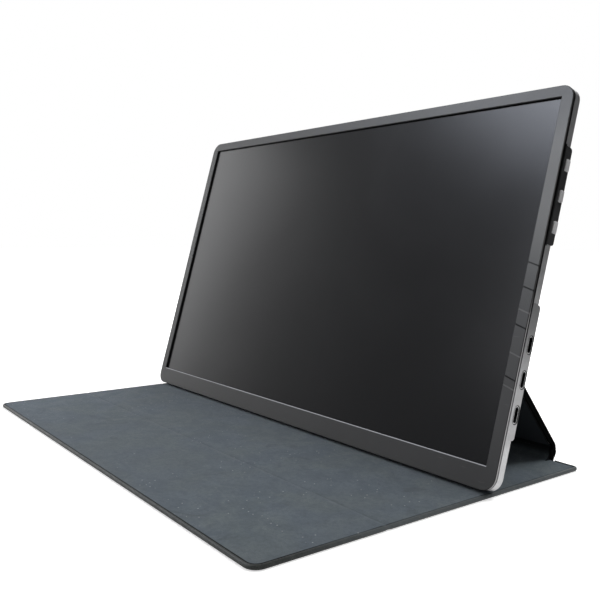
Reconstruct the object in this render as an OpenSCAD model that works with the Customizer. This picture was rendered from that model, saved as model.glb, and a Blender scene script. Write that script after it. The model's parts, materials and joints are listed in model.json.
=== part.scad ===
// Portable monitor standing in its folding cover.
// Origin: middle of the footprint, on the table. +X is the viewer's right, +Y runs to the rear, +Z is up.

/* [Screen] */
// Width of the opening in the bezel
opening_w = 346.2; // [320:0.1:380]
// Height of the opening in the bezel
opening_h = 195.2; // [180:0.1:215]

/* [Monitor case] */
// Width of the bezel at each side of the screen
side_bezel = 7.2; // [7:0.1:12]
// Height of the bezel above the screen
top_bezel = 6.5; // [6.4:0.1:12]
// Height of the bezel below the screen
chin = 12.5; // [12:0.1:20]
// Thickness of the case away from its two raised edges
case_t = 6.9; // [6.1:0.1:7]
// Thickness of the case at the sockets and at the buttons
raised_t = 8.4; // [8.3:0.1:10]
// Radius of the case corners seen from the front
corner_r = 8; // [4:0.5:12]
// Radius of the case's rear edge
rear_edge_r = 0.9; // [0.5:0.1:2]
// Radius of the bezel's front edge
bezel_edge_r = 0.4; // [0.2:0.1:0.6]
// Chamfer round the screen opening
opening_chamfer = 0.35; // [0.1:0.05:0.6]
// Side wall of the rear cover
case_wall = 1.6; // [1.4:0.1:2]
// Rear wall of the rear cover
floor_t = 0.8; // [0.6:0.1:1]
// Wall of the two raised edges
raised_wall = 0.5; // [0.4:0.1:0.6]
// Depth of the bezel's visible side
bezel_side = 1.0; // [0.8:0.1:1.2]
// Thickness of the bezel over the screen's border
bezel_lip = 1.3; // [1.2:0.1:1.5]
// Width of the shadow gap between bezel and rear cover
shadow_gap = 0.9; // [0.5:0.1:1.2]
// Depth of the shadow gap
shadow_depth = 1.0; // [0.6:0.1:1.2]
// Width of the bezel's rib behind the shadow gap
rib_w = 1.4; // [1:0.1:1.8]

/* [Screen panel] */
// Border of the panel hidden by each side of the bezel
panel_side_border = 2.2; // [1.8:0.1:3]
// Border of the panel hidden by the top of the bezel
panel_top_border = 1.6; // [1.4:0.1:2]
// Border of the panel hidden by the chin
panel_low_border = 7.0; // [6:0.1:8]
// Tape between bezel and panel
tape_t = 0.2; // [0.1:0.05:0.3]
// Glass cell with its polarisers
cell_t = 0.8; // [0.6:0.05:0.9]
// Stack of optical films
film_t = 0.3; // [0.2:0.05:0.4]
// Light guide
guide_t = 0.5; // [0.4:0.05:0.6]
// Reflector sheet
reflector_t = 0.15; // [0.1:0.05:0.2]
// Steel tray behind the backlight
tray_t = 0.25; // [0.2:0.05:0.3]
// Height of the light bar below the light guide
light_bar_h = 1.2; // [0.8:0.1:2]

/* [Boards] */
// Thickness of the circuit boards
pcb_t = 0.8; // [0.6:0.1:0.8]
// Pads that hold the boards on the panel's tray
pad_t = 0.2; // [0.15:0.05:0.3]
// Length of the panel's driver board
driver_board_w = 220; // [160:1:260]
// Height of the panel's driver board
driver_board_h = 10; // [8:0.5:14]
// Distance of the display ribbon from the driver board's end
ribbon_inset = 16; // [12:1:30]
// How far the main board reaches past the display ribbon
past_ribbon = 14; // [10:1:30]
// Width of the largest chip
chip_w = 14; // [8:1:16]
// Height of the chips
chip_h = 0.7; // [0.4:0.1:0.7]
// Thickness of the ribbon cables
ribbon_t = 0.2; // [0.1:0.05:0.2]

/* [Sockets] */
// Height of the lowest socket above the bottom edge
socket_first = 40.6; // [36:0.1:60]
// Distance from one socket to the next
socket_pitch = 18; // [14:0.1:22]
// Length of a socket shell across its mouth
socket_w = 8.94; // [8.5:0.01:9.2]
// Height of a socket shell across its mouth
socket_h = 3.26; // [3:0.01:3.3]
// Depth of a socket shell
socket_depth = 7.35; // [6:0.05:9]
// Sheet thickness of a socket shell
socket_wall = 0.3; // [0.2:0.05:0.35]
// How far the raised edge runs on below the lowest socket
raised_below_sockets = 13.1; // [8:0.1:20]
// How far the raised edge runs on above the highest socket
raised_above_sockets = 20.8; // [8:0.1:24]
// How far the raised edges reach inwards
raised_inward = 17.3; // [14:0.1:18]
// End radius of the raised edges
raised_end_r = 1.8; // [1:0.1:2]

/* [Buttons] */
// Height of the lowest key above the bottom edge
key_first = 138.5; // [130:0.1:150]
// Distance from one key to the next
key_pitch = 16.6; // [12:0.1:20]
// Length of a key along the edge
key_l = 6.4; // [4:0.1:8]
// Width of a key across the edge
key_w = 3.1; // [2.4:0.1:3.2]
// From the middle of the keys to the rear face
key_from_rear = 2; // [1.9:0.05:2.1]
// How far a key stands out of its strip
key_proud = 0.6; // [0.4:0.1:1]
// Travel of a key
key_travel = 0.3; // [0.15:0.05:0.35]
// Play between a key and its window
key_play = 0.1; // [0.05:0.05:0.15]
// How far the strip runs on past its outer keys
strip_end = 9.6; // [8:0.1:14]
// Width of the strip across the edge
strip_w = 5.4; // [5:0.1:5.8]
// Depth of the strip into the case
strip_depth = 4; // [3.6:0.1:4.4]
// Outer wall of the strip
strip_wall = 1.2; // [1:0.1:1.3]

/* [Cover] */
// How far the panel on the table stops short of the monitor's sides
cover_inset = 5.6; // [0:0.1:12]
// Gap between the raised edges and the narrow panels beside them
panel_clearance = 4; // [2:0.5:20]
// Radius of the cover's front corners
cover_corner_r = 6.5; // [4:0.5:14]
// Radius of the cover's rear corners beside the spine
rear_corner_r = 3.5; // [2:0.5:14]
// Corner radius of the narrow panels
support_corner_r = 6; // [3:0.5:12]
// Outer leather
leather_t = 0.8; // [0.6:0.05:1]
// Stiff board inside the cover
board_t = 1.0; // [0.8:0.05:1.4]
// Microfibre lining
lining_t = 0.5; // [0.4:0.05:0.6]
// Width of the leather turned over the panel's edges
hem_w = 1.3; // [1.2:0.1:8]
// Leather beyond the board's edge
edge_wall = 0.8; // [0.6:0.05:1.2]
// Thickness of the bare folds
web_t = 1.4; // [1.2:0.05:1.6]
// Half width of the folds at spine and support
fold_half = 1.9; // [1.8:0.1:2.6]
// Thickness of the fold across the front of the cover
front_web_t = 0.5; // [0.4:0.05:0.55]
// Half width of the fold across the front
front_fold_half = 2.2; // [1.8:0.1:3]
// Play beside a fold's rounded edge
fold_gap = 0.2; // [0.1:0.05:0.3]
// Distance between the folds of the spine
spine_l = 9.8; // [9:0.1:14]
// Height up the monitor's back at which the support starts
support_top = 75.5; // [60:0.5:90]
// Back panel's distance from the monitor's top edge
back_panel_margin = 5; // [3:0.5:12]
// Adhesive sheet between monitor and back panel
adhesive_t = 0.2; // [0.1:0.05:0.3]

/* [Stand] */
// Lean of the monitor from the vertical
tilt = 15.6; // [14:0.1:18]
// From the cover's front edge to the monitor
front_reach = 138; // [120:0.5:150]
// From the fold across the front to the monitor
front_fold_reach = 66.5; // [55:0.5:75]
// From the monitor's lower front edge back to the spine
rear_reach = 81.6; // [76:0.1:88]
// Play under the monitor's foot
foot_gap = 0.3; // [0.2:0.05:0.5]

/* [Magnets] */
// Length of each bar magnet
magnet_l = 40; // [20:1:60]
// Width of each bar magnet
magnet_w = 5; // [3:0.5:8]
// Distance of the bar magnets from the middle
magnet_x = 25; // [22:1:60]
// Distance of the closing magnets from the front edge
closing_magnet_y = 12; // [10:0.5:20]
// Play round the boards and magnets inside the cover
inner_play = 0.1; // [0.05:0.05:0.2]

/* [Hidden] */
$fn = 48;
eps = 0.01;

// Case outline
monitor_w = opening_w + 2 * side_bezel;
monitor_h = opening_h + top_bezel + chin;
edge_x = monitor_w / 2;
cover_front_t = bezel_side + shadow_gap;
floor_in_t = case_t - floor_t;

// Depths of the layers behind the bezel's front face
cell_at = bezel_lip + tape_t;
film_at = cell_at + cell_t;
guide_at = film_at + film_t;
reflector_at = guide_at + guide_t;
tray_at = reflector_at + reflector_t;
tray_end = tray_at + tray_t;
board_at = tray_end + pad_t;
board_end = board_at + pcb_t;

// Panel outline
panel_w = opening_w + 2 * panel_side_border;
panel_low = chin - panel_low_border;
panel_high = chin + opening_h + panel_top_border;
tray_inset = 0.2;
tray_wall = 0.3;
tray_low = panel_low + 2.5;
film_play = 0.2;
film_w = panel_w - 2 * (tray_inset + tray_wall + film_play);
film_low = tray_low + tray_wall + film_play;
film_high = panel_high - tray_inset - tray_wall - film_play;

// Screws and their bosses
screw_r = 0.8;
screw_head_r = 1.4;
screw_head_h = 0.9;
screw_play = 0.1;
front_boss_r = 1.5;
rear_boss_r = 2.4;
boss_split = board_end - 0.3;
side_channel_x = edge_x - (case_wall + side_bezel - panel_side_border) / 2;
top_channel_y = (monitor_h - case_wall + panel_high) / 2;
low_channel_y = (case_wall + panel_low) / 2;
screw_x = [-140, -60, 60, 140];
low_screw_y = 14;
middle_screw_y = 112;
top_screw_below_edge = 14.2;
screw_y = [low_screw_y, middle_screw_y, monitor_h - top_screw_below_edge];
screw_points = concat(
    [for (x = screw_x, y = [low_channel_y, top_channel_y]) [x, y]],
    [for (side = [-1, 1], y = screw_y) [side * side_channel_x, y]]);

// Raised edges, sockets and keys
socket_y = [for (i = [0 : 2]) socket_first + i * socket_pitch];
sockets_low = socket_y[0] - raised_below_sockets;
sockets_high = socket_y[2] + raised_above_sockets;
socket_r = socket_h / 2;
socket_t = board_end + socket_r;
socket_inset = 0.2;
socket_play = 0.15;
key_y = [for (i = [0 : 2]) key_first + i * key_pitch];
strip_low = key_y[0] - strip_end;
strip_high = key_y[2] + strip_end;
strip_t = raised_t - strip_w;
strip_skin = 0.4;
strip_play = 0.1;
strip_x = edge_x - strip_depth;
key_t = raised_t - key_from_rear;
key_flange_l = 0.8;
key_flange_h = 0.8;
key_flange_gap = 0.05;
key_back_x = edge_x - strip_wall - key_flange_gap - key_flange_h;
button_pcb_t = 0.6;
switch_depth = 2.8;
switch_l = 3.6;
switch_x = strip_x - 0.5 - switch_depth;
switch_t = 1.7;
plunger_t = floor_in_t + switch_t / 2;
plunger_r = 0.6;
plunger_in = 0.8;
main_board_x = edge_x - case_wall - 0.7;
raised_inner_x = edge_x - raised_inward;
display_x = driver_board_w / 2 - ribbon_inset;
main_board_in = display_x - past_ribbon;
main_board_w = main_board_x - main_board_in;

// Cover outline, stack and folds
cover_w = monitor_w - 2 * cover_inset;
support_w = 2 * (raised_inner_x - panel_clearance);
cover_t = leather_t + board_t + lining_t;
fold_r = web_t / 2;
front_fold_r = front_web_t;
front_fold_z = cover_t - front_fold_r;

// Stand geometry in the plane of the folds
foot_drop = rear_edge_r * (1 - cos(tilt)) + (case_t - rear_edge_r) * sin(tilt);
depth = front_reach + rear_reach + fold_r;
front_y = -depth / 2;
monitor_y = front_y + front_reach;
monitor_z = cover_t + foot_gap + foot_drop;
front_fold_y = monitor_y - front_fold_reach;
spine_y = monitor_y + rear_reach;
support_y = spine_y;
support_z = fold_r + spine_l;
crease_depth = case_t + adhesive_t + cover_t - fold_r;
crease_y = monitor_y + support_top * sin(tilt) + crease_depth * cos(tilt);
crease_z = monitor_z + support_top * cos(tilt) - crease_depth * sin(tilt);
support_l = norm([crease_y - support_y, crease_z - support_z]);
support_angle = atan2(crease_z - support_z, crease_y - support_y);
back_panel_l = monitor_h - back_panel_margin - support_top;
stand_magnet_y = monitor_y + case_t * cos(tilt);

// Colours
bezel_grey = [0.30, 0.30, 0.31];
case_grey = [0.42, 0.42, 0.43];
strip_black = [0.08, 0.08, 0.08];
key_grey = [0.58, 0.58, 0.58];
screen_black = [0.06, 0.06, 0.07];
leather_black = [0.10, 0.10, 0.10];
lining_slate = [0.27, 0.30, 0.33];
board_brown = [0.55, 0.45, 0.33];
pcb_green = [0.05, 0.35, 0.20];
steel = [0.70, 0.71, 0.73];

// ---------- Frames and shared shapes ----------

// Monitor frame: x across, y up the screen, z towards the viewer, front face at z = 0
module on_monitor() {
    translate([0, monitor_y, monitor_z]) rotate([90 - tilt, 0, 0]) children();
}

// Slab of the monitor between two depths behind its front face
module layer(t_front, t_back) {
    translate([0, 0, -t_back]) linear_extrude(t_back - t_front) children();
}

// Rectangle standing on y = low, centred on x = 0
module centred_rect(w, low, high) {
    translate([-w / 2, low]) square([w, high - low]);
}

// Block of the monitor, by its low and high x, y and depth
module block(x0, x1, y0, y1, t0, t1) {
    translate([x0, y0, -t1]) cube([x1 - x0, y1 - y0, t1 - t0]);
}

// Rounded outline of the case, drawn in by a margin
module case_outline(inset) {
    r = max(corner_r - inset, 0.5);
    w = monitor_w - 2 * inset;
    translate([0, inset]) rounded_rect(w, monitor_h - 2 * inset, r, r);
}

// Rectangle from y = 0 upwards, with its own radius at the low and the high corners
module rounded_rect(w, h, r_low, r_high) {
    difference() {
        centred_rect(w, 0, h);
        for (side = [-1, 1]) {
            if (r_low > 0) corner_cut(side, -1, side * w / 2, 0, r_low);
            if (r_high > 0) corner_cut(side, 1, side * w / 2, h, r_high);
        }
    }
}

// What a round corner takes off a square one that points along (sx, sy)
module corner_cut(sx, sy, x, y, r) {
    translate([x - sx * r, y - sy * r]) difference() {
        translate([sx > 0 ? 0 : -r - eps, sy > 0 ? 0 : -r - eps]) square(r + eps);
        circle(r);
    }
}

// Case-shaped plate whose edge is rounded on one face, from depth t0 to depth t1
module soft_plate(t0, t1, edge_r, round_front) {
    thickness = t1 - t0;
    arc = [for (i = [0 : 6]) let (a = 15 * i) [corner_r - edge_r + edge_r * cos(a),
                                              thickness - edge_r + edge_r * sin(a)]];
    hull() for (x = [-1, 1], y = [0, 1])
        translate([x * (edge_x - corner_r), y ? monitor_h - corner_r : corner_r, round_front ? -t1 : -t0])
            mirror([0, 0, round_front ? 0 : 1])
                rotate_extrude($fn = 32) polygon(concat([[0, 0], [corner_r, 0]], arc, [[0, thickness]]));
}

// Bar along the right edge with its two rear corners rounded, between two heights
module raised_bar(x0, x1, y0, y1, t0, t1, r) {
    block(x0, x1, y0, y1, t0, t1 - r);
    block(x0, x1, y0 + r, y1 - r, t0, t1);
    for (y = [y0 + r, y1 - r]) translate([x0, y, -(t1 - r)]) rotate([0, 90, 0]) cylinder(h = x1 - x0, r = r);
}

// Oblong with round ends, lying along y in a plane across x, at depth t
module oblong(x0, x1, y, t, l, w) {
    translate([x0, y, -t]) rotate([0, 90, 0]) linear_extrude(x1 - x0) {
        square([w, l - w], center = true);
        for (side = [-1, 1]) translate([0, side * (l - w) / 2]) circle(w / 2);
    }
}

// Cylinder through the monitor's depth
module peg(x, y, t0, t1, r) {
    translate([x, y, -t1]) cylinder(h = t1 - t0, r = r);
}

// ---------- Monitor case ----------

module front_bezel() {
    color(bezel_grey) on_monitor() difference() {
        union() {
            soft_plate(0, bezel_side, bezel_edge_r, true);
            layer(bezel_side, bezel_lip) case_outline(shadow_depth);
            layer(bezel_lip, cover_front_t) difference() {
                case_outline(shadow_depth);
                case_outline(shadow_depth + rib_w);
            }
            for (p = screw_points) peg(p[0], p[1], bezel_side, boss_split, front_boss_r);
        }
        layer(-1, cover_front_t + 1) centred_rect(opening_w, chin, chin + opening_h);
        opening_chamfers();
        for (p = screw_points) peg(p[0], p[1], bezel_lip, boss_split + 1, screw_r + 0.02);
    }
}

// Chamfer along the four sides of the screen opening
module opening_chamfers() {
    c = opening_chamfer;
    hull() {
        layer(-c, -c + eps)
            centred_rect(opening_w + 4 * c, chin - 2 * c, chin + opening_h + 2 * c);
        layer(c, c + eps) centred_rect(opening_w, chin, chin + opening_h);
    }
}

module rear_cover() {
    color(case_grey) on_monitor() difference() {
        union() {
            difference() {
                union() {
                    soft_plate(cover_front_t, case_t, rear_edge_r, false);
                    raised_bar(raised_inner_x, edge_x, sockets_low, sockets_high,
                        case_t - rear_edge_r, raised_t, raised_end_r);
                    raised_bar(raised_inner_x, edge_x, strip_low, strip_high,
                        case_t - rear_edge_r, raised_t, raised_end_r);
                }
                layer(cover_front_t - 1, floor_in_t) case_outline(case_wall);
                raised_hollow(sockets_low, sockets_high);
                raised_hollow(strip_low, strip_high);
            }
            for (p = screw_points) intersection() {
                peg(p[0], p[1], boss_split, floor_in_t + eps, rear_boss_r);
                layer(boss_split, floor_in_t + eps) case_outline(case_wall - eps);
            }
        }
        for (y = socket_y)
            oblong(edge_x - case_wall - 1, edge_x + 1, y, socket_t,
                socket_w + 2 * socket_play, socket_h + 2 * socket_play);
        block(strip_x - strip_play, edge_x + 1, strip_low - strip_play, strip_high + strip_play,
            strip_t, raised_t + 1);
        for (p = screw_points) {
            peg(p[0], p[1], boss_split - 1, case_t + 1, screw_r + screw_play);
            peg(p[0], p[1], case_t - screw_head_h, case_t + 1, screw_head_r + screw_play);
        }
    }
}

// Space inside a raised edge
module raised_hollow(y0, y1) {
    block(raised_inner_x + case_wall, edge_x - case_wall, y0 + case_wall, y1 - case_wall,
        floor_in_t - 1, raised_t - raised_wall);
}

module case_screws() {
    color(steel) on_monitor() for (p = screw_points) {
        peg(p[0], p[1], bezel_lip + 0.3, case_t - screw_head_h + eps, screw_r);
        peg(p[0], p[1], case_t - screw_head_h, case_t - 0.1, screw_head_r);
    }
}

// Steel strips that the cover's magnets pull on, above and below the screen
module keeper_strips() {
    w = 2 * magnet_x + magnet_l;
    rib = shadow_depth + rib_w;
    color(steel) on_monitor() layer(bezel_lip, film_at) {
        centred_rect(w, rib + inner_play, panel_low - inner_play);
        centred_rect(w, panel_high + inner_play, monitor_h - rib - inner_play);
    }
}

// ---------- Screen panel ----------

module screen_tape() {
    side = panel_side_border - 0.4;
    top = panel_top_border - 0.4;
    low = panel_low_border - 3;
    color("black") on_monitor() layer(bezel_lip, cell_at) {
        for (s = [-1, 1]) translate([s * (opening_w / 2 + 0.2 + side / 2), 0])
            centred_rect(side, chin, chin + opening_h);
        centred_rect(opening_w, chin + opening_h + 0.2, chin + opening_h + 0.2 + top);
        centred_rect(opening_w, chin - 0.2 - low, chin - 0.2);
    }
}

module lcd_cell() {
    color(screen_black) on_monitor() layer(cell_at, film_at) centred_rect(panel_w, panel_low, panel_high);
}

module optical_films() {
    color("white") on_monitor() layer(film_at, guide_at) centred_rect(film_w, film_low, film_high);
}

module light_guide() {
    color("aliceblue") on_monitor()
        layer(guide_at, reflector_at) centred_rect(film_w, film_low + light_bar_h + film_play, film_high);
}

module reflector_sheet() {
    color("silver") on_monitor() layer(reflector_at, tray_at) centred_rect(film_w, film_low, film_high);
}

module light_bar() {
    color("lightyellow") on_monitor()
        layer(guide_at, reflector_at) centred_rect(film_w, film_low, film_low + light_bar_h);
}

module panel_tray() {
    w = panel_w - 2 * tray_inset;
    high = panel_high - tray_inset;
    color(steel) on_monitor() difference() {
        layer(film_at, tray_end) centred_rect(w, tray_low, high);
        layer(film_at - 1, tray_at)
            centred_rect(w - 2 * tray_wall, tray_low + tray_wall, high - tray_wall);
    }
}

driver_board_low = tray_low;
driver_board_high = driver_board_low + driver_board_h;

module driver_board() {
    color(pcb_green) on_monitor()
        layer(board_at, board_end) centred_rect(driver_board_w, driver_board_low, driver_board_high);
}

// Ribbons that fold from the glass round to the driver board
module driver_flex() {
    count = 5;
    flex_t = 0.12;
    flex_w = 0.6 * driver_board_w / count;
    low = driver_board_low - flex_t - 0.1;
    color("sienna") on_monitor() for (i = [0 : count - 1])
        translate([(i - (count - 1) / 2) * driver_board_w / count, 0, 0]) {
            block(-flex_w / 2, flex_w / 2, panel_low + 0.3, low + flex_t, film_at, film_at + flex_t);
            block(-flex_w / 2, flex_w / 2, low, low + flex_t, film_at, board_end + flex_t);
            block(-flex_w / 2, flex_w / 2, low, driver_board_low + 3, board_end, board_end + flex_t);
        }
}

// ---------- Boards, sockets and ribbons ----------

main_board_low = sockets_low + case_wall + 0.3;
main_board_high = sockets_high - case_wall - 0.3;
main_board_h = main_board_high - main_board_low;
display_ribbon_w = 12;
button_ribbon_x = raised_inner_x + 4;
button_ribbon_w = 4;
ribbon_at = board_end + 0.1;
connector_l = 4;

module main_board() {
    color(pcb_green) on_monitor()
        block(main_board_in, main_board_x, main_board_low, main_board_high, board_at, board_end);
}

module main_chips() {
    // Each chip: place across and up the board, then width and height, as shares of the board and of chip_w
    chips = [[0.37, 0.51, 1, 1], [0.59, 0.67, 0.57, 0.57], [0.65, 0.33, 0.43, 0.36],
        [0.53, 0.18, 0.36, 0.36], [0.33, 0.18, 0.64, 0.43], [0.71, 0.82, 0.43, 0.29]];
    color([0.1, 0.1, 0.1]) on_monitor() for (c = chips)
        translate([main_board_in + c[0] * main_board_w, main_board_low + c[1] * main_board_h, -board_end - chip_h])
            translate([-c[2] * chip_w / 2, -c[3] * chip_w / 2]) cube([c[2] * chip_w, c[3] * chip_w, chip_h]);
}

// Foam pads between the boards and the panel's tray
module board_pads() {
    pad_w = 0.6 * driver_board_h;
    color("dimgray") on_monitor() {
        for (x = [main_board_in + pad_w, main_board_x - 2 * pad_w], y = [main_board_low, main_board_high - pad_w])
            block(x - pad_w, x + pad_w, y, y + pad_w, tray_end, board_at);
        for (s = [-1, 0, 1]) translate([s * driver_board_w / 3, driver_board_low])
            block(-pad_w, pad_w, driver_board_h / 2 - pad_w / 2, driver_board_h / 2 + pad_w / 2,
                tray_end, board_at);
    }
}

// A ribbon connector on a board's rear face, with the ribbon's slot through it
module connector(x, y, w) {
    difference() {
        block(x - w / 2 - 1, x + w / 2 + 1, y - connector_l / 2, y + connector_l / 2, board_end, board_end + 0.6);
        block(x - w / 2 - 0.1, x + w / 2 + 0.1, y - connector_l, y + connector_l,
            ribbon_at - 0.05, ribbon_at + ribbon_t + 0.05);
    }
}

module ribbon_connectors() {
    color("ivory") on_monitor() {
        connector(display_x, main_board_low + 3, display_ribbon_w);
        connector(display_x, driver_board_high - 3, display_ribbon_w);
        connector(button_ribbon_x, main_board_high - 3, button_ribbon_w);
    }
}

module display_ribbon() {
    color("wheat") on_monitor()
        block(display_x - display_ribbon_w / 2, display_x + display_ribbon_w / 2,
            driver_board_high - 5, main_board_low + 5, ribbon_at, ribbon_at + ribbon_t);
}

module button_ribbon() {
    color("wheat") on_monitor()
        block(button_ribbon_x - button_ribbon_w / 2, button_ribbon_x + button_ribbon_w / 2,
            main_board_high - 5, button_board_low + 4,
            floor_in_t - button_pcb_t - ribbon_t, floor_in_t - button_pcb_t);
}

// Oblong socket: a drawn steel shell with its contact tongue
module socket(y) {
    back_x = edge_x - socket_inset - socket_depth;
    mouth_x = edge_x - socket_inset;
    tongue = [6.7, 0.7];
    color(steel) on_monitor() {
        difference() {
            oblong(back_x, mouth_x, y, socket_t, socket_w, socket_h);
            oblong(back_x + 1, mouth_x + 1, y, socket_t, socket_w - 2 * socket_wall, socket_h - 2 * socket_wall);
        }
        block(back_x + 1, mouth_x - 1, y - tongue[0] / 2, y + tongue[0] / 2,
            socket_t - tongue[1] / 2, socket_t + tongue[1] / 2);
    }
}

module socket_upper() { socket(socket_y[2]); }
module socket_middle() { socket(socket_y[1]); }
module socket_lower() { socket(socket_y[0]); }

// ---------- Buttons ----------

button_board_low = strip_low + case_wall - 1;
button_board_high = strip_high - case_wall + 1;

module button_board() {
    color(pcb_green) on_monitor()
        block(raised_inner_x + case_wall - 1.2, strip_x - 0.4, button_board_low, button_board_high,
            floor_in_t - button_pcb_t, floor_in_t);
}

module button_switches() {
    color("gray") on_monitor() for (y = key_y) difference() {
        block(switch_x, switch_x + switch_depth, y - switch_l / 2, y + switch_l / 2,
            floor_in_t, floor_in_t + switch_t);
        translate([switch_x + switch_depth - plunger_in - key_travel - 0.1, y, -plunger_t])
            rotate([0, 90, 0]) cylinder(h = 5, r = plunger_r + 0.05);
    }
}

module button_strip() {
    color(strip_black) on_monitor() difference() {
        raised_bar(strip_x, edge_x, strip_low, strip_high, strip_t, raised_t, raised_end_r);
        block(strip_x - 1, edge_x - strip_wall, strip_low + strip_skin + 1, strip_high - strip_skin - 1,
            strip_t + strip_skin, raised_t - strip_skin);
        for (y = key_y)
            key_shape(edge_x - strip_wall - 1, edge_x + 1, y, key_l + 2 * key_play, key_w + 2 * key_play);
    }
}

// Rounded rectangle of a key, along x
module key_shape(x0, x1, y, l, w) {
    r = 0.8;
    translate([x0, y, -key_t]) rotate([90, 0, 90]) linear_extrude(x1 - x0)
        translate([0, -w / 2]) rounded_rect(l, w, r, r);
}

module key(y) {
    color(key_grey) on_monitor() {
        key_shape(key_back_x + key_flange_h, edge_x + key_proud, y, key_l, key_w);
        block(key_back_x, key_back_x + key_flange_h, y - key_l / 2 - key_flange_l,
            y + key_l / 2 + key_flange_l, key_t - key_w / 2, key_t + key_w / 2);
    }
}

module plunger(y) {
    color("black") on_monitor() translate([switch_x + switch_depth - plunger_in, y, -plunger_t]) rotate([0, 90, 0])
        cylinder(h = key_back_x - (switch_x + switch_depth - plunger_in), r = plunger_r);
}

module key_upper() { key(key_y[2]); }
module key_middle() { key(key_y[1]); }
module key_lower() { key(key_y[0]); }
module plunger_upper() { plunger(key_y[2]); }
module plunger_middle() { plunger(key_y[1]); }
module plunger_lower() { plunger(key_y[0]); }

// ---------- Cover ----------

// Panel frame: x across, y away from the fold, outer leather face at z = 0, lining towards +z
module on_fold(y, z, angle) {
    translate([0, y, z]) rotate([angle, 0, 0]) translate([0, 0, -fold_r]) children();
}

// Board, lining and skin of a panel between y0 and y1. A fold end has no hem, and its corners are square.
module panel_skin(w, y0, y1, r_low, r_high) {
    hem_low = r_low > 0 ? hem_w : 0;
    hem_high = r_high > 0 ? hem_w : 0;
    difference() {
        translate([0, y0, 0]) linear_extrude(cover_t) rounded_rect(w, y1 - y0, r_low, r_high);
        translate([0, 0, leather_t]) linear_extrude(board_t) board_outline(w, y0, y1, r_low, r_high, 0);
        translate([0, y0 + hem_low - (r_low > 0 ? 0 : 1), leather_t + board_t]) linear_extrude(lining_t + 1)
            rounded_rect(w - 2 * hem_w, y1 - y0 - hem_low - hem_high + (r_low > 0 ? 0 : 1) + (r_high > 0 ? 0 : 1),
                max(r_low - hem_w, 0), max(r_high - hem_w, 0));
    }
}

module board_outline(w, y0, y1, r_low, r_high, play) {
    inset = edge_wall + play;
    translate([0, y0 + inset]) rounded_rect(w - 2 * inset, y1 - y0 - 2 * inset,
        max(r_low - inset, 0), max(r_high - inset, 0));
}

module panel_board(w, y0, y1, r_low, r_high) {
    translate([0, 0, leather_t]) linear_extrude(board_t)
        board_outline(w, y0, y1, r_low, r_high, inner_play);
}

module panel_lining(w, y0, y1, r_low, r_high) {
    low = y0 + (r_low > 0 ? hem_w + inner_play : 0);
    high = y1 - (r_high > 0 ? hem_w + inner_play : 0);
    translate([0, low, leather_t + board_t]) linear_extrude(lining_t)
        rounded_rect(w - 2 * (hem_w + inner_play), high - low, max(r_low - hem_w, 0), max(r_high - hem_w, 0));
}

// Bare fold from a panel's edge at y0 to the fold line at y1, ending in the fold's round edge
module web_with_edge(w, y0, y1) {
    a = min(y0, y1);
    b = max(y0, y1);
    translate([-w / 2, a, 0]) cube([w, b - a, web_t]);
    translate([-w / 2, y1, fold_r]) rotate([0, 90, 0]) cylinder(h = w, r = fold_r);
}

// Bare fold that stops short of the neighbour's round edge on the line y = 0
module web_stub(w) {
    start = fold_r + fold_gap;
    translate([-w / 2, start, 0]) cube([w, fold_half - start, web_t]);
}

// Back panel, stuck to the monitor's rear above the crease
module on_back_panel() { on_fold(crease_y, crease_z, 90 - tilt) children(); }

module back_panel_skin() {
    color(leather_black) on_back_panel() {
        panel_skin(support_w, fold_half, back_panel_l, 0, support_corner_r);
        web_stub(support_w);
    }
}

module back_panel_board() {
    color(board_brown) on_back_panel() panel_board(support_w, fold_half, back_panel_l, 0, support_corner_r);
}

module back_panel_lining() {
    color(lining_slate) on_back_panel() panel_lining(support_w, fold_half, back_panel_l, 0, support_corner_r);
}

module adhesive_sheet() {
    margin = 8;
    color("khaki") on_monitor() layer(case_t, case_t + adhesive_t)
        centred_rect(support_w - 2 * margin, support_top + margin, monitor_h - back_panel_margin - margin);
}

// Support, from the spine's upper fold to the crease on the monitor's back
module on_support() { on_fold(support_y, support_z, support_angle) children(); }
support_end = support_l - fold_half;

module support_skin() {
    color(leather_black) on_support() {
        panel_skin(support_w, fold_half, support_end, 0, 0);
        web_stub(support_w);
        web_with_edge(support_w, support_end, support_l);
    }
}

module support_board() {
    color(board_brown) on_support() panel_board(support_w, fold_half, support_end, 0, 0);
}

module support_lining() {
    color(lining_slate) on_support() panel_lining(support_w, fold_half, support_end, 0, 0);
}

// Spine, upright at the rear edge of the base
module on_spine() { on_fold(spine_y, fold_r, 90) children(); }
spine_end = spine_l - fold_half;

module spine_skin() {
    color(leather_black) on_spine() {
        panel_skin(support_w, fold_half, spine_end, 0, 0);
        web_stub(support_w);
        web_with_edge(support_w, spine_end, spine_l);
    }
}

module spine_board() {
    color(board_brown) on_spine() panel_board(support_w, fold_half, spine_end, 0, 0);
}

module spine_lining() {
    color(lining_slate) on_spine() panel_lining(support_w, fold_half, spine_end, 0, 0);
}

// Base, from the fold across the front to the spine
base_start = front_fold_y + front_fold_half;
base_end = spine_y + fold_r;
base_board_end = spine_y - fold_half;
spine_slot_w = support_w + 1;

module base_skin() {
    color(leather_black) {
        difference() {
            translate([0, base_start, 0]) linear_extrude(cover_t)
                rounded_rect(cover_w, base_end - base_start, 0, rear_corner_r);
            translate([0, 0, leather_t]) linear_extrude(board_t) base_board_outline(0);
            translate([0, base_start - 1, leather_t + board_t]) linear_extrude(lining_t + 1)
                centred_rect(cover_w - 2 * hem_w, 0, base_board_end - base_start + 1);
            translate([-spine_slot_w / 2, base_board_end, web_t]) cube([spine_slot_w, 10, cover_t]);
            translate([-spine_slot_w / 2, spine_y, -1]) cube([spine_slot_w, 10, cover_t + 2]);
        }
        web_with_edge(support_w, base_board_end, spine_y);
        front_web_with_edge();
    }
}

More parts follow.
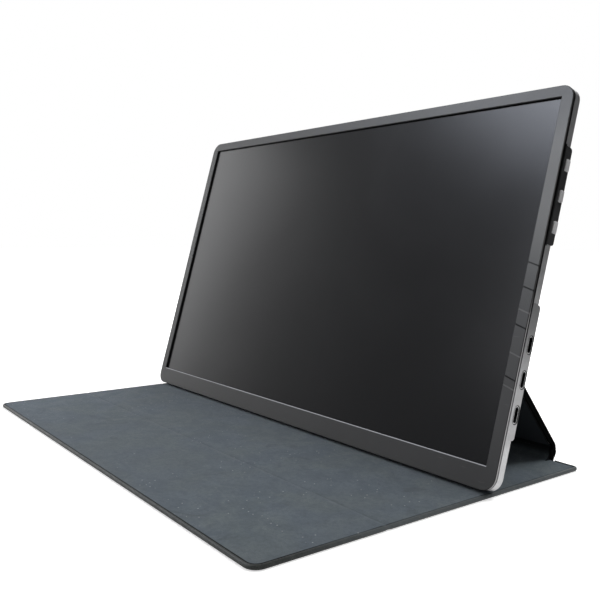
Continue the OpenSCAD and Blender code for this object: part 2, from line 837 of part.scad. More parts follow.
module base_board_outline(play) {
    inset = edge_wall + play;
    centred_rect(cover_w - 2 * inset, base_start + inset, base_board_end - inset);
}

module base_board() {
    color(board_brown) difference() {
        translate([0, 0, leather_t]) linear_extrude(board_t) base_board_outline(inner_play);
        magnet_bars(stand_magnet_y, inner_play);
    }
}

module base_lining() {
    color(lining_slate) translate([0, 0, leather_t + board_t]) linear_extrude(lining_t)
        centred_rect(cover_w - 2 * (hem_w + inner_play), base_start, base_board_end - inner_play);
}

module magnet_bars(y, play) {
    l = magnet_l + 2 * play;
    w = magnet_w + 2 * play;
    for (s = [-1, 1]) translate([s * magnet_x - l / 2, y - w / 2, leather_t]) cube([l, w, board_t]);
}

module stand_magnets() {
    color(steel) magnet_bars(stand_magnet_y, 0);
}

// The front fold bends near the lining, so that the flap can turn up and over
module front_web(y0, y1) {
    translate([-cover_w / 2, y0, front_fold_z - front_web_t]) cube([cover_w, y1 - y0, front_web_t]);
}

module front_web_with_edge() {
    front_web(front_fold_y, base_start);
    translate([-cover_w / 2, front_fold_y, front_fold_z]) rotate([0, 90, 0])
        cylinder(h = cover_w, r = front_fold_r);
}

flap_end = front_fold_y - front_fold_half;

module front_flap_skin() {
    color(leather_black) {
        panel_skin(cover_w, front_y, flap_end, cover_corner_r, 0);
        front_web(flap_end, front_fold_y - front_fold_r - fold_gap);
    }
}

module front_flap_board() {
    color(board_brown) difference() {
        panel_board(cover_w, front_y, flap_end, cover_corner_r, 0);
        magnet_bars(front_y + closing_magnet_y, inner_play);
    }
}

module front_flap_lining() {
    color(lining_slate) panel_lining(cover_w, front_y, flap_end, cover_corner_r, 0);
}

module closing_magnets() {
    color(steel) magnet_bars(front_y + closing_magnet_y, 0);
}

front_bezel();
rear_cover();
case_screws();
keeper_strips();
screen_tape();
lcd_cell();
optical_films();
light_guide();
reflector_sheet();
light_bar();
panel_tray();
driver_board();
driver_flex();
main_board();
main_chips();
board_pads();
ribbon_connectors();
display_ribbon();
button_ribbon();
socket_upper();
socket_middle();
socket_lower();
button_board();
button_switches();
button_strip();
key_upper();
key_middle();
key_lower();
plunger_upper();
plunger_middle();
plunger_lower();
adhesive_sheet();
back_panel_skin();
back_panel_board();
back_panel_lining();
support_skin();
support_board();
support_lining();
spine_skin();
spine_board();
spine_lining();
base_skin();
base_board();
base_lining();
stand_magnets();
front_flap_skin();
front_flap_board();
front_flap_lining();
closing_magnets();
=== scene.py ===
"""Portable monitor standing in its folding cover: looks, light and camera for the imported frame."""
import json
import math
import bpy
import numpy as np
from mathutils import Matrix, Vector


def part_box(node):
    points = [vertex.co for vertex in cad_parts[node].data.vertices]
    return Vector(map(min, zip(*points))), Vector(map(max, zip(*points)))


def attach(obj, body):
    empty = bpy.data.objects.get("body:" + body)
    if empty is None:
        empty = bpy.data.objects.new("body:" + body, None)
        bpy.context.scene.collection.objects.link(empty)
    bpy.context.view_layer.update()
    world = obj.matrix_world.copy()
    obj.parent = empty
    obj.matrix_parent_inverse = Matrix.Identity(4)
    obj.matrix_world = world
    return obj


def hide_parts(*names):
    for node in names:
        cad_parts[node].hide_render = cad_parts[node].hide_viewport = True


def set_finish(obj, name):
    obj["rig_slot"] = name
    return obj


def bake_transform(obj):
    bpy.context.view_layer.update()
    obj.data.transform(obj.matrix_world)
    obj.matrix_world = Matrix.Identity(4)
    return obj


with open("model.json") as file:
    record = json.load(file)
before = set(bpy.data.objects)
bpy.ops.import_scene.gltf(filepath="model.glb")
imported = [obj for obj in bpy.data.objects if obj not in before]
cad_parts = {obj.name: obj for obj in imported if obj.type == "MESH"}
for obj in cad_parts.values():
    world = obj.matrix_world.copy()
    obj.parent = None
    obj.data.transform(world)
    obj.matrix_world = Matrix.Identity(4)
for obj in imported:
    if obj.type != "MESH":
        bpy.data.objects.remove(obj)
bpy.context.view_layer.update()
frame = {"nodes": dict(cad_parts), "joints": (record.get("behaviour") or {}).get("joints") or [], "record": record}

MM = 0.001


def corners_of(node):
    """A CAD node's lowest and highest corner, in mm."""
    return [[round(v / MM, 3) for v in corner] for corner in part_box(node)]


def fold_at(name):
    """(y, z) of a fold's joint, in mm."""
    joint = next(joint for joint in frame["joints"] if joint["name"] == name)
    return tuple(round(v / MM, 3) for v in joint["pos_m"][1:])


def link(name, data):
    obj = bpy.data.objects.new(name, data)
    bpy.context.scene.collection.objects.link(obj)
    return obj


# ---------- Camera ----------

# Fitted to the photograph: place in metres, and degrees turned left, up and anticlockwise
CAMERA_AT = (0.41368, -0.26966, 0.13103)
YAW, PITCH, ROLL = 52.774, -4.881, 0.479
LENS, SENSOR = 45.622, 36


def make_camera():
    yaw, pitch, roll = math.radians(YAW), math.radians(PITCH), math.radians(ROLL)
    ahead = Vector((-math.sin(yaw) * math.cos(pitch), math.cos(yaw) * math.cos(pitch), math.sin(pitch)))
    level = Vector((math.cos(yaw), math.sin(yaw), 0))
    upright = level.cross(ahead)
    right = math.cos(roll) * level + math.sin(roll) * upright
    up = -math.sin(roll) * level + math.cos(roll) * upright
    data = bpy.data.cameras.new("Camera")
    data.sensor_width, data.lens = SENSOR, LENS
    data.clip_start, data.clip_end = 0.01, 50
    camera = link("Camera", data)
    rotation = Matrix((right, up, -ahead)).transposed()
    camera.matrix_world = Matrix.Translation(CAMERA_AT) @ rotation.to_4x4()
    bpy.context.scene.camera = camera


make_camera()


# ---------- Materials ----------

class Nodes:
    """
    A material, or the world, under construction from nodes. Textures are placed by object coordinates,
    in metres. A number, a colour or another node's output can be given wherever a value is asked for.
    """

    def __init__(self, name, kind=bpy.data.materials, output="ShaderNodeOutputMaterial"):
        self.made = kind.new(name)
        self.made.use_nodes = True
        self.tree = self.made.node_tree
        self.tree.nodes.clear()
        self.out = self.add(output)
        self.coords = self.add("ShaderNodeTexCoord").outputs["Object"]

    def add(self, kind, **inputs):
        """A node, with its inputs by name, where _ stands for a space."""
        node = self.tree.nodes.new(kind)
        for key, value in inputs.items():
            self.put(node.inputs[key.replace("_", " ")], value)
        return node

    def put(self, socket, value):
        if isinstance(value, bpy.types.NodeSocket):
            self.tree.links.new(value, socket)
        elif hasattr(value, "__len__") and socket.type == "RGBA" and len(value) == 3:
            socket.default_value = (*value, 1)
        else:
            socket.default_value = value

    def finish(self, shader):
        """Links the shader to the output, and gives the finished material or world."""
        self.put(self.out.inputs["Surface"], shader.outputs[0])
        return self.made

    def principled(self, **inputs):
        return self.finish(self.add("ShaderNodeBsdfPrincipled", **inputs))

    def attribute(self, name):
        node = self.add("ShaderNodeAttribute")
        node.attribute_name = name
        return node.outputs["Fac"]

    def math(self, op, a, b=None):
        node = self.add("ShaderNodeMath")
        node.operation = op
        self.put(node.inputs[0], a)
        if b is not None:
            self.put(node.inputs[1], b)
        return node.outputs[0]

    def times(self, *factors):
        product = factors[0]
        for factor in factors[1:]:
            product = self.math("MULTIPLY", product, factor)
        return product

    def away(self, value, centre):
        return self.math("ABSOLUTE", self.math("SUBTRACT", value, centre))

    def vector(self, op, a, b=None):
        node = self.add("ShaderNodeVectorMath")
        node.operation = op
        self.put(node.inputs[0], a)
        if b is not None:
            self.put(node.inputs[1], b)
        return node.outputs["Value"] if op in ("DOT_PRODUCT", "LENGTH") else node.outputs[0]

    def scaled(self, x, y, z):
        """Object coordinates times (x, y, z), for marks that are longer one way."""
        return self.vector("MULTIPLY", self.coords, (x, y, z))

    def flat_axes(self):
        """x and y in mm."""
        return [self.vector("DOT_PRODUCT", self.coords, axis) for axis in ((1000, 0, 0), (0, 1000, 0))]

    def noise(self, scale, detail=2.0, rough=0.5, distort=0.0, at=None):
        node = self.add("ShaderNodeTexNoise", Vector=self.coords if at is None else at, Scale=scale,
                        Detail=detail, Roughness=rough, Distortion=distort)
        return node.outputs["Fac"]

    def cells(self, scale, feature="F1", spread=1.0):
        node = self.add("ShaderNodeTexVoronoi", Vector=self.coords)
        node.feature = feature
        node.inputs["Scale"].default_value = scale
        node.inputs["Randomness"].default_value = spread
        return node.outputs["Distance"]

    def ramp(self, value, low, high, out_low=0.0, out_high=1.0):
        """Goes smoothly from out_low to out_high while the value goes from low to high."""
        node = self.add("ShaderNodeMapRange", Value=value, From_Min=low, From_Max=high,
                        To_Min=out_low, To_Max=out_high)
        node.interpolation_type = "SMOOTHSTEP"
        return node.outputs[0]

    def mix(self, factor, a, b):
        node = self.add("ShaderNodeMix")
        node.data_type = "RGBA"
        self.put(node.inputs["Factor"], factor)
        sockets = [s for s in node.inputs if s.type == "RGBA"]
        self.put(sockets[0], a)
        self.put(sockets[1], b)
        return next(s for s in node.outputs if s.type == "RGBA")

    def bump(self, height, distance, strength=1.0):
        return self.add("ShaderNodeBump", Height=height, Distance=distance, Strength=strength).outputs[0]


# The middle of the monitor's lower front edge, in mm, and how far the monitor leans back, in degrees
MONITOR_Y, MONITOR_Z, LEAN = 27.85, 4.24667, 15.6
# The lowest socket's middle up the screen and into the monitor, a socket's length and end radius, the pitch
SOCKET_H, SOCKET_T, SOCKET_L, SOCKET_R, SOCKET_PITCH = 40.6, 6.13, 8.94, 1.63, 18.0
# Half width, foot and top of the bezel's opening and of the screen's lit area
OPENING_X, OPENING_LOW, OPENING_TOP = 173.1, 12.5, 207.7
LIT_X, LIT_LOW, LIT_TOP = 172.1, 13.3, 207.0
# The gap between bezel and case: its middle into the monitor, and half its width
GAP_T, GAP_HALF = 1.44, 0.5
# Painted reflections: the fine lines across the bezel's right side, where they cross its middle, and how they
# slope
REFLECTION_LINE_X, REFLECTION_LINE_SLOPE = 177.0, 0.285
DARK_REFLECTION_LINES, LIGHT_REFLECTION_LINES = (117.5, 104.5, 84.7, 57.9), (92.7, 70.1, 53.3)
# The button strip's middle up the screen and half its length, and the top of the sockets' raised edge
STRIP_H, STRIP_HALF, RAISED_TOP = 155.1, 27.0, 98.0


def monitor_axes(n):
    """Across, up the screen and into the monitor, in mm from the middle of its lower front edge."""
    sin, cos = math.sin(math.radians(LEAN)), math.cos(math.radians(LEAN))
    moved = n.vector("SUBTRACT", n.coords, (0, MONITOR_Y * MM, MONITOR_Z * MM))
    axes = (1, 0, 0), (0, sin, cos), (0, cos, -sin)
    return [n.vector("DOT_PRODUCT", moved, 1000 * Vector(axis)) for axis in axes]


def satin_paint(n):
    """Metallic grey paint of the case's sides and back: colour and roughness."""
    flake = n.cells(3800)
    drawn = n.noise(60, 4, 0.6, 0, n.scaled(1, 1, 12))
    tone = n.mix(n.ramp(flake, 0.1, 0.9), (0.34, 0.34, 0.345), (0.42, 0.42, 0.425))
    tone = n.mix(n.ramp(n.noise(22, 3, 0.5), 0.35, 0.7, 0, 0.35), tone, (0.30, 0.30, 0.305))
    return tone, n.ramp(drawn, 0.3, 0.7, 0.38, 0.50)


def painted_gap_shade(n, tone, h, t):
    """Painted shade: black in and beside the gap between bezel and case, fading out lower down, and a painted
    contact shadow on the lowest edge.
    """
    gap = n.times(n.ramp(n.away(t, GAP_T), GAP_HALF + 0.02, GAP_HALF - 0.03), n.ramp(h, 40, 100))
    # Painted shade over the bezel's side and the gap, higher up
    edge = n.times(n.ramp(t, 0.34, 0.46), n.ramp(t, 2.15, 2.0), n.ramp(h, 84, 104))
    tone = n.mix(n.times(n.math("MAXIMUM", gap, edge), 0.92), tone, (0.004, 0.004, 0.004))
    # Painted contact shadow along the lowest edge
    return n.mix(n.ramp(h, 1.15, 0.75), tone, (0.006, 0.006, 0.006))


def bezel_material():
    n = Nodes("bezel_plastic")
    x, h, t = monitor_axes(n)
    grain = n.noise(2600, 3, 0.6)
    cloud = n.noise(14, 3, 0.55)
    face = n.mix(n.ramp(cloud, 0.35, 0.65), (0.009, 0.009, 0.0095), (0.013, 0.013, 0.0135))
    scuff = n.times(n.ramp(n.noise(900, 2, 0.5, 0, n.scaled(0.12, 1, 1)), 0.66, 0.78), 0.35)
    face = n.mix(scuff, face, (0.05, 0.05, 0.051))
    # Painted reflection: the right bezel is painted paler higher up, where it mirrors the light
    painted_right_sheen = n.times(n.ramp(h, 95, 150, 0, 0.7), n.ramp(h, 208, 178),
                   n.ramp(x, OPENING_X + 0.1, OPENING_X + 0.9))
    face = n.mix(painted_right_sheen, face, (0.150, 0.150, 0.147))
    # Painted reflections: fine parallel lines across it, dark or light, of straight edges mirrored in the bezel
    along = n.math("ADD", h, n.times(n.math("SUBTRACT", x, REFLECTION_LINE_X), REFLECTION_LINE_SLOPE))
    beside = n.ramp(x, OPENING_X - 0.1, OPENING_X + 0.2)
    dark_reflection = 0.0
    for at in DARK_REFLECTION_LINES + LIGHT_REFLECTION_LINES:
        reflection_line = n.times(n.ramp(n.away(along, at), 0.6, 0.2), beside)
        if at in LIGHT_REFLECTION_LINES:
            face = n.mix(n.times(reflection_line, 0.45), face, (0.15, 0.15, 0.15))
        else:
            face = n.mix(reflection_line, face, (0.004, 0.004, 0.004))
            dark_reflection = n.math("MAXIMUM", dark_reflection, reflection_line)
    # Painted shade and highlight: the opening's walls are painted black as shade, and its lower edge is painted
    # bright as a lit chamfer
    inside = n.times(n.ramp(n.math("ABSOLUTE", x), OPENING_X + 0.25, OPENING_X + 0.10),
                     n.ramp(h, OPENING_LOW - 0.50, OPENING_LOW - 0.38),
                     n.ramp(h, OPENING_TOP + 0.30, OPENING_TOP + 0.15))
    painted_foot_highlight = n.times(inside, n.ramp(h, OPENING_LOW + 0.12, OPENING_LOW + 0.02), n.ramp(t, 0.5, 0.4))
    painted_wall_shade = n.times(inside, n.ramp(t, 0.16, 0.24))
    paint, paint_rough = satin_paint(n)
    side = n.times(n.ramp(t, 0.30, 0.42), n.math("SUBTRACT", 1, inside))
    tone = n.mix(side, face, paint)
    tone = n.mix(painted_wall_shade, tone, (0.006, 0.006, 0.0065))
    tone = n.mix(painted_foot_highlight, tone, (0.20, 0.20, 0.205))
    tone = painted_gap_shade(n, tone, h, t)
    rough = n.ramp(n.math("ADD", n.times(cloud, 0.5), n.times(grain, 0.5)), 0.3, 0.7, 0.48, 0.56)
    rough = n.math("ADD", n.times(rough, n.math("SUBTRACT", 1, side)), n.times(paint_rough, side))
    return n.principled(Base_Color=tone, Roughness=rough, Specular_IOR_Level=0.20,
                        Metallic=n.math("MAXIMUM", n.times(n.math("MAXIMUM", side, painted_foot_highlight), 0.75), dark_reflection),
                        Normal=n.bump(grain, 0.00002, 0.5))


def socket_distance(n, h, t):
    """Distance in mm from the middle line of the nearest of the three sockets."""
    far = SOCKET_PITCH / 2
    along = n.math("PINGPONG", n.math("SUBTRACT", h, SOCKET_H), far)
    along = n.math("MAXIMUM", n.math("SUBTRACT", along, SOCKET_L / 2 - SOCKET_R), 0.0)
    away = n.math("SUBTRACT", t, SOCKET_T)
    near = n.math("SQRT", n.math("ADD", n.times(along, along), n.times(away, away)))
    # Beyond the row of three, nothing counts as near
    past = n.math("MAXIMUM", n.ramp(h, 90.0, 88.0, 1.0, 0.0), n.ramp(h, 30.0, 32.0, 1.0, 0.0))
    return n.math("ADD", near, n.times(past, far))


def socket_material():
    """Drawn steel shell; painted shade blackens the inside of its opening, a little less at the tongue's tip."""
    n = Nodes("socket_steel")
    x, h, t = monitor_axes(n)
    grain = n.noise(1400, 3, 0.6, 0, n.scaled(0.1, 1, 1))
    tone = n.mix(n.ramp(grain, 0.3, 0.7), (0.50, 0.50, 0.51), (0.64, 0.64, 0.65))
    # Painted shade inside each socket's opening
    painted_mouth_shade = n.times(n.ramp(socket_distance(n, h, t), 1.40, 1.33), n.ramp(x, OPENING_X - 0.1, OPENING_X + 0.2))
    tip = n.times(n.ramp(n.away(t, SOCKET_T), 0.40, 0.36), n.ramp(x, 178.9, 179.0))
    dark = n.mix(tip, (0.004, 0.004, 0.004), (0.05, 0.05, 0.05))
    return n.principled(Base_Color=n.mix(painted_mouth_shade, tone, dark), Metallic=n.math("SUBTRACT", 1, painted_mouth_shade),
                        Roughness=n.ramp(grain, 0.3, 0.7, 0.26, 0.38), Specular_IOR_Level=0.3,
                        Normal=n.bump(grain, 0.00002, 0.6))


def case_material():
    n = Nodes("case_plastic")
    x, h, t = monitor_axes(n)
    tone, rough = satin_paint(n)
    rub = n.times(n.ramp(n.noise(240, 3, 0.6, 0.4), 0.62, 0.75), n.ramp(t, 5.9, 6.9, 0, 0.4))
    tone = n.mix(rub, tone, (0.52, 0.52, 0.53))
    # On the right side, painted shade darkens it towards the top of the raised edge round the sockets,
    # and a painted reflection of the bright floor makes it paler near the foot
    side = n.ramp(x, 176.0, 178.8)
    painted_raised_shade = n.times(n.ramp(h, 52, 88, 0, 0.62), n.ramp(h, RAISED_TOP + 0.2, RAISED_TOP - 0.4))
    tone = n.mix(n.times(painted_raised_shade, side), tone, (0.10, 0.10, 0.10))
    tone = n.mix(n.times(n.ramp(h, 30, 20, 0, 0.6), side), tone, (0.62, 0.62, 0.625))
    # Black lip beside the button strip, and painted shade as a black slot round each socket opening
    lip = n.times(n.ramp(n.away(h, STRIP_H), STRIP_HALF + 0.4, STRIP_HALF - 0.4), n.ramp(t, 3.15, 3.05),
                  n.ramp(x, 178, 179))
    slot = n.times(n.ramp(socket_distance(n, h, t), 2.30, 2.12), n.ramp(x, 178.5, 178.8))
    tone = n.mix(n.math("MAXIMUM", lip, slot), tone, (0.008, 0.008, 0.008))
    tone = painted_gap_shade(n, tone, h, t)
    return n.principled(Base_Color=tone, Metallic=0.75, Roughness=rough,
                        Normal=n.bump(n.noise(5200, 2, 0.5), 0.00002, 0.4))


def screen_material():
    n = Nodes("screen_film")
    x, h, _ = monitor_axes(n)
    frost = n.noise(9000, 2, 0.5)
    smear = n.noise(9, 4, 0.6, 0.6)
    above_below = n.math("MAXIMUM", n.ramp(h, LIT_LOW + 0.1, LIT_LOW - 0.1),
                         n.ramp(h, LIT_TOP - 0.1, LIT_TOP + 0.1))
    border = n.math("MAXIMUM", n.ramp(n.math("ABSOLUTE", x), LIT_X - 0.1, LIT_X + 0.1), above_below)
    # The panel's rows and columns of cells, finer than the eye sees
    half_cell, seam = 0.09, 0.02
    cells = n.times(*[n.ramp(n.math("PINGPONG", v, half_cell), 0.0, seam) for v in (x, h)])
    tone = n.mix(cells, (0.0030, 0.0030, 0.0033), (0.0055, 0.0055, 0.0060))
    tone = n.mix(border, tone, (0.0030, 0.0030, 0.0032))
    rough = n.ramp(smear, 0.3, 0.7, 0.23, 0.26)
    return n.principled(Base_Color=tone, Roughness=rough, Specular_IOR_Level=0.10,
                        Specular_Tint=(0.92, 0.94, 1, 1), Normal=n.bump(frost, 0.000006, 0.5))


def crease_shade_shown(n):
    """How much of the painted crease shade shows: 1, but less along the base's right side behind its
    front corner, where the crease is pressed shut.
    """
    x, y = n.flat_axes()
    return n.math("SUBTRACT", 1.0, n.times(n.ramp(x, 169, 171, 0, 0.65), n.ramp(y, -95, -60)))


def lining_material():
    n = Nodes("lining_microfibre")
    nap = n.noise(2400, 4, 0.65, 0.3)
    knit = n.noise(5200, 2, 0.5)
    drift = n.noise(9, 4, 0.6, 0.8)
    patch = n.noise(70, 5, 0.66, 0.7)
    hue = n.noise(26, 3, 0.6, 0.4)
    stroke = n.noise(34, 4, 0.65, 1.4, n.scaled(1.0, 2.2, 1.0))
    # Brushed nap: lighter and darker patches, greener here and bluer there
    dark = n.mix(n.ramp(hue, 0.38, 0.62), (0.098, 0.118, 0.127), (0.090, 0.111, 0.132))
    light = n.mix(n.ramp(hue, 0.38, 0.62), (0.132, 0.152, 0.158), (0.122, 0.144, 0.168))
    tone = n.mix(n.ramp(patch, 0.36, 0.64), dark, light)
    tone = n.mix(n.ramp(drift, 0.38, 0.62, 0, 0.35), tone, (0.092, 0.108, 0.122))
    tone = n.mix(n.ramp(stroke, 0.55, 0.74, 0, 0.45), tone, (0.160, 0.180, 0.192))
    tone = n.mix(n.ramp(nap, 0.35, 0.68, 0.0, 0.42), tone, (0.060, 0.074, 0.086))
    # Suede: fine darker flecks, and a few rubbed smudges
    tone = n.mix(n.ramp(n.noise(430, 4, 0.72, 0.5), 0.42, 0.66, 0, 0.42), tone, (0.058, 0.070, 0.082))
    tone = n.mix(n.ramp(n.noise(37, 3, 0.6, 0.9), 0.63, 0.72, 0, 0.40), tone, (0.046, 0.056, 0.064))
    # Lint: few and small
    lint = n.times(n.ramp(n.cells(260), 0.13, 0.07), n.ramp(n.noise(23, 2), 0.50, 0.58))
    tone = n.mix(n.times(lint, 0.7), tone, (0.42, 0.44, 0.45))
    # Painted shade: the stand's inner side is all but black, from the fold up
    painted_stand_shade = n.attribute("painted_stand_shade")
    tone = n.mix(n.times(painted_stand_shade, 0.93), tone, (0.006, 0.007, 0.007))
    # Painted shade: a black line in the crease along the lining's edge
    crease = n.ramp(n.away(n.attribute("rim"), 1.0), 0.42, 0.06)
    tone = n.mix(n.times(crease, crease_shade_shown(n)), tone, (0.006, 0.006, 0.007))
    height = n.math("ADD", n.times(nap, 0.7), n.times(knit, 0.3))
    return n.principled(Base_Color=tone, Roughness=0.93, Specular_IOR_Level=0.18, Metallic=n.times(painted_stand_shade, 0.9),
                        Sheen_Weight=0.14, Sheen_Roughness=0.45, Sheen_Tint=(0.72, 0.82, 0.95, 1),
                        Normal=n.bump(height, 0.00012, 0.55))


def leather_material():
    n = Nodes("leather_grain")
    pebble = n.cells(1150, "F1")
    crack = n.cells(1150, "DISTANCE_TO_EDGE")
    pore = n.noise(3000, 3, 0.6)
    drift = n.noise(18, 3, 0.55)
    tone = n.mix(n.ramp(drift, 0.35, 0.65), (0.022, 0.022, 0.023), (0.032, 0.032, 0.033))
    tone = n.mix(n.ramp(crack, 0.0, 0.12, 0.6, 0.0), tone, (0.009, 0.009, 0.010))
    wear = n.times(n.ramp(n.noise(160, 4, 0.65, 0.5), 0.6, 0.76), 0.25)
    tone = n.mix(wear, tone, (0.050, 0.050, 0.050))
    # The base's turned hem is worn greyer, up to the crease where the lining begins, which is painted black as
    # shade
    rim = n.attribute("rim")
    hem = n.mix(n.ramp(n.noise(210, 4, 0.65, 0.4), 0.34, 0.66), (0.036, 0.039, 0.037), (0.056, 0.060, 0.057))
    hem = n.mix(n.ramp(crack, 0.0, 0.12, 0.5, 0.0), hem, (0.022, 0.024, 0.024))
    x, y = n.flat_axes()
    # Painted light: the hem is paler along the right side towards the front, which faces away from the lamps
    hem = n.mix(n.times(n.ramp(x, 165, 172, 0, 0.55), n.ramp(y, -112, -30)), hem, (0.150, 0.165, 0.172))
    tone = n.mix(n.ramp(rim, 0.3, 0.9), tone, hem)
    # Painted shade in the crease
    tone = n.mix(n.times(n.ramp(rim, 2.02, 2.24), crease_shade_shown(n)), tone, (0.006, 0.006, 0.006))
    # Painted shade: the stand's panels are black on their inner face and round their edges
    painted_stand_shade = n.attribute("painted_stand_shade")
    tone = n.mix(n.times(painted_stand_shade, 0.95), tone, (0.004, 0.004, 0.004))
    height = n.math("ADD", n.times(n.ramp(crack, 0.0, 0.22), 0.8), n.times(pore, 0.25))
    rough = n.ramp(n.math("ADD", pebble, n.times(pore, 0.4)), 0.2, 1.0, 0.44, 0.62)
    return n.principled(Base_Color=tone, Roughness=rough, Specular_IOR_Level=0.25, Metallic=painted_stand_shade,
                        Specular_Tint=(0.3, 0.3, 0.3, 1), Normal=n.bump(height, 0.00005, 0.7))


def plain(name, low, high, rough, metallic=0.0, grain=1800, depth=0.00002, spec=0.5, patch=60):
    """Moulded, rolled or printed surfaces: mottled colour, varied roughness and a fine grain."""
    n = Nodes(name)
    fine = n.noise(grain, 3, 0.6)
    cloud = n.noise(patch, 3, 0.55)
    tone = n.mix(n.ramp(cloud, 0.35, 0.65), low, high)
    tone = n.mix(n.ramp(fine, 0.4, 0.75, 0, 0.25), tone, tuple(v * 0.7 for v in low))
    return n.principled(Base_Color=tone, Roughness=n.ramp(fine, 0.3, 0.7, *rough), Metallic=metallic,
                        Specular_IOR_Level=spec, Normal=n.bump(fine, depth, 0.6))


def board_material():
    """Solder mask over traces, with bare pads here and there."""
    n = Nodes("solder_mask")
    trace = n.ramp(n.math("PINGPONG", n.flat_axes()[0], 0.6), 0.14, 0.20)
    bend = n.ramp(n.noise(70, 2), 0.48, 0.52)
    pads = n.times(n.ramp(n.cells(420, spread=0.2), 0.22, 0.16), n.ramp(n.noise(45, 2), 0.5, 0.56))
    tone = n.mix(n.times(trace, bend), (0.010, 0.085, 0.040), (0.014, 0.13, 0.062))
    tone = n.mix(pads, tone, (0.62, 0.52, 0.30))
    return n.principled(Base_Color=tone, Roughness=n.ramp(n.noise(900, 2), 0.3, 0.7, 0.25, 0.4),
                        Metallic=n.times(pads, 0.9), Normal=n.bump(trace, 0.00003, 0.5))


def fibre_material():
    n = Nodes("grey_board")
    fibre = n.noise(700, 4, 0.7, 1.0, n.scaled(1, 3, 3))
    fleck = n.ramp(n.cells(600), 0.16, 0.10)
    tone = n.mix(n.ramp(fibre, 0.3, 0.7), (0.050, 0.048, 0.045), (0.085, 0.081, 0.075))
    tone = n.mix(n.times(fleck, 0.5), tone, (0.13, 0.12, 0.11))
    return n.principled(Base_Color=tone, Roughness=0.92, Specular_IOR_Level=0.2,
                        Normal=n.bump(fibre, 0.0001, 0.6))


def ribbon_material():
    n = Nodes("flat_cable")
    wire = n.math("PINGPONG", n.vector("DOT_PRODUCT", n.coords, (1000, 1000, 0)), 0.25)
    tone = n.mix(n.ramp(wire, 0.05, 0.18), (0.55, 0.56, 0.58), (0.80, 0.80, 0.79))
    return n.principled(Base_Color=tone, Roughness=n.ramp(n.noise(600, 2), 0.3, 0.7, 0.25, 0.38),
                        Normal=n.bump(wire, 0.00004, 0.6))


MATERIALS = {
    "bezel_plastic": bezel_material(),
    "case_plastic": case_material(),
    "black_plastic": plain("black_plastic", (0.016, 0.016, 0.017), (0.024, 0.024, 0.025), (0.42, 0.55),
                           spec=0.35),
    "key_plastic": plain("key_plastic", (0.60, 0.60, 0.605), (0.68, 0.68, 0.685), (0.38, 0.50), 0.4),
    "screen_glass": screen_material(),
    "optical_film": plain("frosted_film", (0.80, 0.80, 0.82), (0.88, 0.88, 0.90), (0.45, 0.6)),
    "clear_acrylic": plain("light_guide", (0.78, 0.82, 0.85), (0.86, 0.90, 0.93), (0.08, 0.16), grain=900),
    "white_sheet": plain("white_sheet", (0.82, 0.82, 0.82), (0.90, 0.90, 0.90), (0.35, 0.5)),
    "sheet_steel": plain("zinc_steel", (0.50, 0.51, 0.53), (0.64, 0.65, 0.67), (0.28, 0.42), 1.0,
                         grain=1200, patch=180),
    "screw_steel": plain("black_oxide", (0.05, 0.05, 0.052), (0.09, 0.09, 0.093), (0.3, 0.42), 0.9),
    "socket_steel": socket_material(),
    "circuit_board": board_material(),
    "amber_film": plain("polyimide", (0.40, 0.19, 0.035), (0.52, 0.26, 0.06), (0.18, 0.3)),
    "chip_black": plain("moulded_epoxy", (0.018, 0.018, 0.018), (0.028, 0.028, 0.028), (0.5, 0.66),
                        grain=4000),
    "foam": plain("closed_cell_foam", (0.06, 0.06, 0.06), (0.10, 0.10, 0.10), (0.85, 0.95),
                  grain=2600, depth=0.0001, spec=0.2),
    "ivory_plastic": plain("ivory_plastic", (0.66, 0.62, 0.50), (0.74, 0.70, 0.58), (0.4, 0.5)),
    "white_ribbon": ribbon_material(),
    "black_tape": plain("black_tape", (0.012, 0.012, 0.012), (0.02, 0.02, 0.02), (0.5, 0.62)),
    "adhesive": plain("adhesive", (0.55, 0.52, 0.40), (0.66, 0.63, 0.50), (0.5, 0.7)),
    "leather": leather_material(),
    "paperboard": fibre_material(),
    "lining": lining_material(),
    "magnet": plain("nickel", (0.60, 0.59, 0.56), (0.70, 0.69, 0.66), (0.14, 0.24), 1.0),
}

slots = {part["node"]: part["material_slot"] for part in frame["record"]["subparts"]
         if "node" in part and "material_slot" in part}
for node, obj in frame["nodes"].items():
    obj.data.materials.clear()
    obj.data.materials.append(MATERIALS[slots.get(node) or obj.get("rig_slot")])
    for polygon in obj.data.polygons:
        polygon.material_index = 0


# ---------- Cover ----------

# The folds: the crease across the base, and the stand's three from the base up, as (y, z) in mm
FRONT_FOLD, FRONT_FOLD_Z = fold_at("front_flap_fold")
P1, P2, TOP = STAND_FOLDS = [fold_at(name) for name in ("spine_fold", "support_fold", "monitor_tilt")]
# The base: its front edge, half its width, its rear edge and its thickness, and its corners' radii
FRONT = corners_of("front_flap_skin")[0][1]
COVER_HALF, REAR, COVER = corners_of("base_skin")[1]
FRONT_R, REAR_R = 6.5, 3.5
# Heights of the board's lower and upper face on the base
BOARD_LOW, BOARD_TOP = [corner[2] for corner in corners_of("front_flap_board")]
# The stand's panels: half their width, their corners' radius and their lengths
NARROW_HALF, NARROW_R = corners_of("spine_skin")[1][0], 6.0
SPINE_L, SUPPORT_L, BACK_L = math.dist(P1, P2), math.dist(P2, TOP), 133.7
# The stand's bodies from the base up, and their angles in degrees
ANGLES = (0, 90, math.degrees(math.atan2(TOP[1] - P2[1], TOP[0] - P2[0])), 90 - LEAN)
# The CAD nodes of the stand's panels
SKINS = {"spine": "spine_skin", "support": "support_skin", "back": "back_panel_skin"}
LININGS = {"spine": "spine_lining", "support": "support_lining", "back": "back_panel_lining"}
# The folds are bare leather, bending about its middle: its thickness, and how far they reach each way
NEUTRAL = P1[1]
WEB, FOLD, FRONT_BEND = 2 * NEUTRAL, 1.9, 2.2
